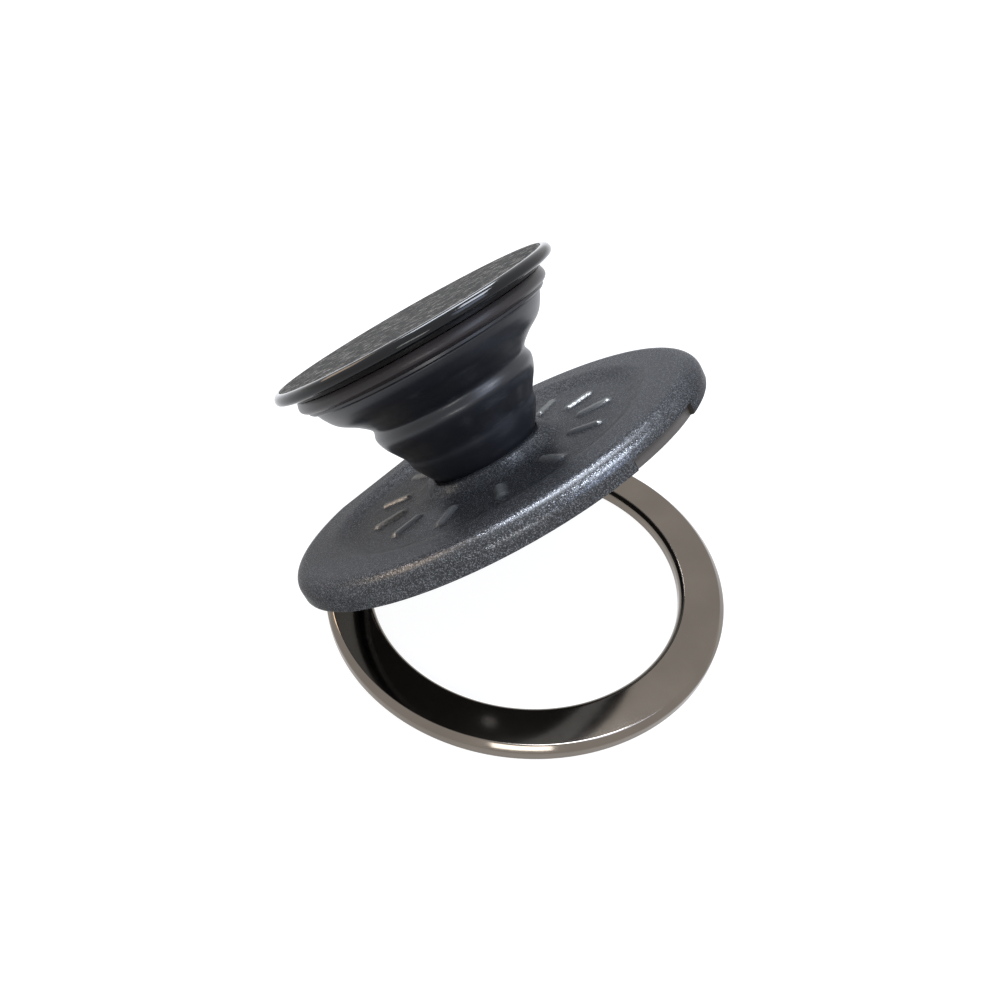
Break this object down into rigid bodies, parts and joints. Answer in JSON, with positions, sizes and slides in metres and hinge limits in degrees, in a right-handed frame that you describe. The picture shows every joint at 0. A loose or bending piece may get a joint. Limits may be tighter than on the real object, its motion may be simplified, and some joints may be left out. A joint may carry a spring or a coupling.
{
  "type": "phone grip",
  "caption": "Magnetic phone grip and stand: a flat mounting ring hinged to a round disc that carries a folding bellows and a quarter-turn cap.",
  "frame": {"origin": "centre of the mounting ring on its phone side", "axes": "+Z out of the ring towards the disc, +X from the hinge towards the ring's free end, the hinge line along Y"},
  "size_m": [0.0638, 0.059, 0.0481],
  "materials": {
    "ring_plate": "mirror-polished gunmetal plating",
    "plain_steel": "plain stamped steel",
    "magnet_nickel": "nickel plating",
    "soft_pad": "matt soft pad",
    "washer_polymer": "plain polymer",
    "flake_paint": "black satin paint with fine metal flake",
    "dark_plastic": "satin moulded",
    "bellows_rubber": "satin black elastomer",
    "cap_plastic": "glossy moulded rim",
    "cap_texture": "fine woven texture"
  },
  "bodies": {
    "ring": {"ring_frame": "ring_plate", "ring_yoke": "plain_steel", "ring_magnet_01": "magnet_nickel", "ring_magnet_02": "magnet_nickel", "ring_magnet_03": "magnet_nickel", "ring_magnet_04": "magnet_nickel", "ring_magnet_05": "magnet_nickel", "ring_magnet_06": "magnet_nickel", "ring_magnet_07": "magnet_nickel", "ring_magnet_08": "magnet_nickel", "ring_magnet_09": "magnet_nickel", "ring_magnet_10": "magnet_nickel", "ring_magnet_11": "magnet_nickel", "ring_magnet_12": "magnet_nickel", "ring_magnet_13": "magnet_nickel", "ring_magnet_14": "magnet_nickel", "ring_magnet_15": "magnet_nickel", "ring_magnet_16": "magnet_nickel", "ring_pad": "soft_pad", "hinge_pin": "plain_steel", "friction_washer_left": "washer_polymer", "friction_washer_right": "washer_polymer"},
    "disc": {"disc_cover": "flake_paint", "disc_plate": "dark_plastic", "keeper_ring": "plain_steel", "hinge_bracket": "plain_steel", "bracket_rivets": "plain_steel", "plate_screws": "plain_steel", "bellows_clamp": "dark_plastic", "bellows": "bellows_rubber"},
    "grip": {"platform": "dark_plastic", "bellows_top_ring": "dark_plastic"},
    "cap": {"cap_disc": "cap_plastic", "cap_face": "cap_texture"}
  },
  "joints": [
    {"name": "disc_kick_out", "type": "hinge", "parent": "ring", "child": "disc", "pos_m": [-0.027, 0, 0.001], "axis": [0, -1, 0], "range_deg": [-40, 35]},
    {"name": "grip_collapse", "type": "slide", "parent": "disc", "child": "grip", "axis": [-0.6428, 0, 0.766], "range_m": [-0.0143, 0], "deforming": ["bellows"]},
    {"name": "cap_twist", "type": "hinge", "parent": "grip", "child": "cap", "pos_m": [-0.01853, 0, 0.03291], "axis": [-0.6428, 0, 0.766], "range_deg": [0, 90]}
  ]
}
